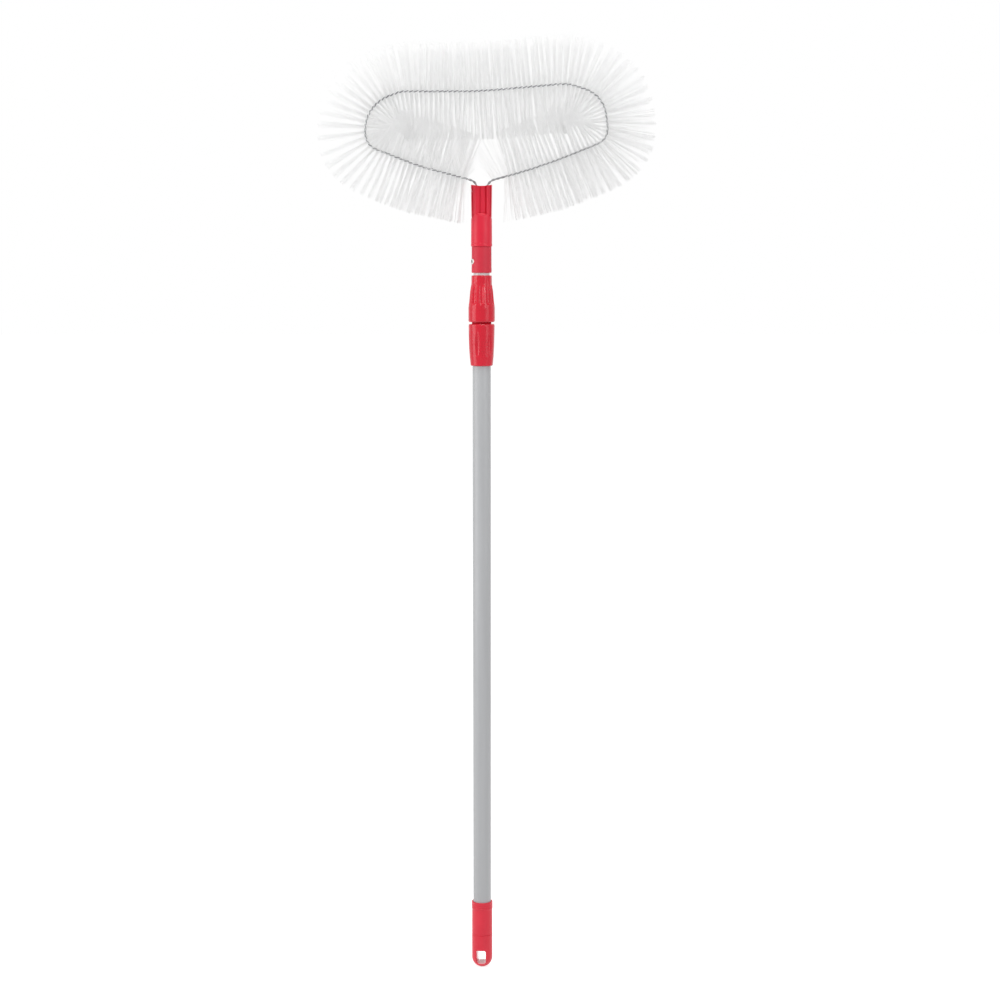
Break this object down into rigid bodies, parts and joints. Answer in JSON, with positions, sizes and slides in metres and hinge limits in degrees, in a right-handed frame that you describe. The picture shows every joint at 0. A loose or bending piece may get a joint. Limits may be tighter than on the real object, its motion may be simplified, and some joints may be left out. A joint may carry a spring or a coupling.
{
  "type": "cobweb brush",
  "caption": "Cobweb brush: a looped twisted-wire brush with soft bristles all round, pushed onto a telescopic pole with a twist lock and an end cap with a hang hole.",
  "frame": {"origin": "centre of the hang hole in the end cap, on the pole's axis", "axes": "+Z along the pole towards the brush, +X to the right seen from the front, +Y to the back, square to the wire loop"},
  "size_m": [0.4575, 0.1226, 1.2969],
  "materials": {
    "end_cap": "moulded, fine satin",
    "outer_tube": "grey powder coat, satin",
    "guide_bush": "moulded",
    "inner_tube": "light grey coat, satin",
    "grip_collar": "moulded, glossy",
    "clamp_ring": "moulded, natural",
    "lock_nut": "moulded, glossy",
    "tip_sleeve": "moulded, fine satin",
    "rivet": "plain",
    "brush_holder": "moulded, fine satin",
    "wire": "galvanised, drawn",
    "bristles": "fine translucent filaments"
  },
  "bodies": {
    "pole": {"end_cap": "end_cap", "outer_tube": "outer_tube", "grip_collar": "grip_collar"},
    "clamp_ring": {"clamp_ring": "clamp_ring"},
    "lock_nut": {"lock_nut": "lock_nut"},
    "pole_plug": {"guide_bush": "guide_bush"},
    "inner_pole": {"inner_tube": "inner_tube", "tip_sleeve": "tip_sleeve", "tip_rivet": "rivet"},
    "brush_head": {"brush_holder": "brush_holder", "front_wire": "wire", "back_wire": "wire", "bristles_lower_left": "bristles", "bristles_left_end": "bristles", "bristles_upper_left": "bristles", "bristles_top_left": "bristles", "bristles_top_right": "bristles", "bristles_upper_right": "bristles", "bristles_right_end": "bristles", "bristles_lower_right": "bristles"}
  },
  "joints": [
    {"name": "lock_nut_turn", "type": "hinge", "parent": "clamp_ring", "child": "lock_nut", "pos_m": [0, 0, 0.894], "axis": [0, 0, 1], "range_deg": [0, 180]},
    {"name": "clamp_ring_lift", "type": "slide", "parent": "pole", "child": "clamp_ring", "axis": [0, 0, 1], "range_m": [0, 0.0015]},
    {"name": "pole_extend", "type": "slide", "parent": "pole", "child": "pole_plug", "axis": [0, 0, 1], "range_m": [0, 0.848]},
    {"name": "inner_pole_turn", "type": "hinge", "parent": "pole_plug", "child": "inner_pole", "pos_m": [0, 0, 0.027], "axis": [0, 0, 1], "continuous": true},
    {"name": "head_pull_off", "type": "slide", "parent": "inner_pole", "child": "brush_head", "axis": [0, 0, 1], "range_m": [0, 0.045]}
  ],
  "couplings": [
    {"joint": "clamp_ring_lift", "follows": "lock_nut_turn", "m_per_rad": 0.00047746}
  ]
}
